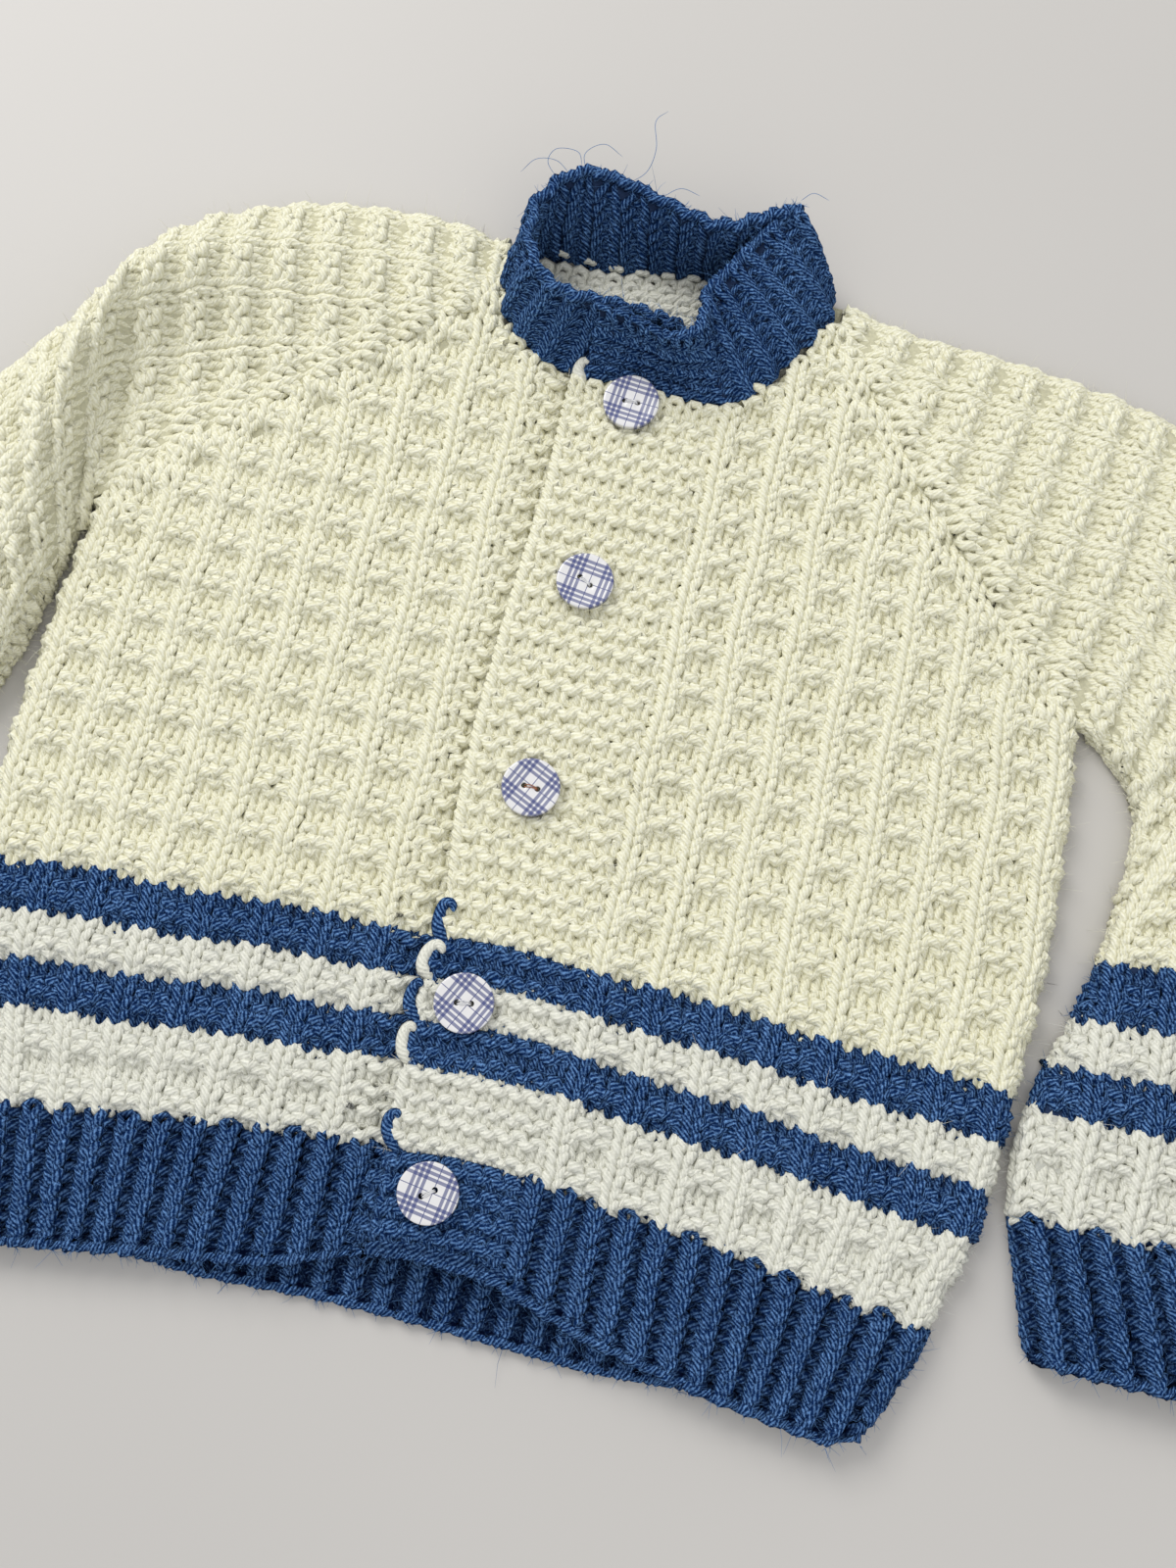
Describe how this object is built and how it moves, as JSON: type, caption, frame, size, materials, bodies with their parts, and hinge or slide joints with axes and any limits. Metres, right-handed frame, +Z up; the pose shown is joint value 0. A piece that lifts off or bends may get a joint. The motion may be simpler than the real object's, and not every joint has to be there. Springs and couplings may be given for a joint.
{
  "type": "baby cardigan",
  "caption": "Hand-knitted raglan baby cardigan, buttoned up and lying flat: waffle stitch, striped lower body and sleeves, ribbed welt, cuffs and standing neckband.",
  "frame": {"origin": "on the flat underside of the back, midway across it and 120 mm up from the front welt's level at the band", "axes": "+X across the garment toward the wearer's left sleeve, +Y up the garment toward the neck, +Z up from the surface it lies on"},
  "size_m": [0.444, 0.3071, 0.0271],
  "materials": {
    "cream_knit": "soft plied yarn in cream, with blue and white stripes in the knitting",
    "blue_knit": "soft plied yarn in denim blue",
    "button_plastic": "white with a printed blue check"
  },
  "bodies": {
    "root": {"back": "cream_knit", "front_right": "cream_knit", "front_left": "cream_knit", "sleeve_right": "cream_knit", "sleeve_left": "cream_knit", "back_welt": "blue_knit", "welt_right": "blue_knit", "welt_left": "blue_knit", "cuff_right": "blue_knit", "cuff_left": "blue_knit", "neckband": "blue_knit", "button_1": "button_plastic", "button_2": "button_plastic", "button_3": "button_plastic", "button_4": "button_plastic", "button_5": "button_plastic"}
  },
  "joints": []
}
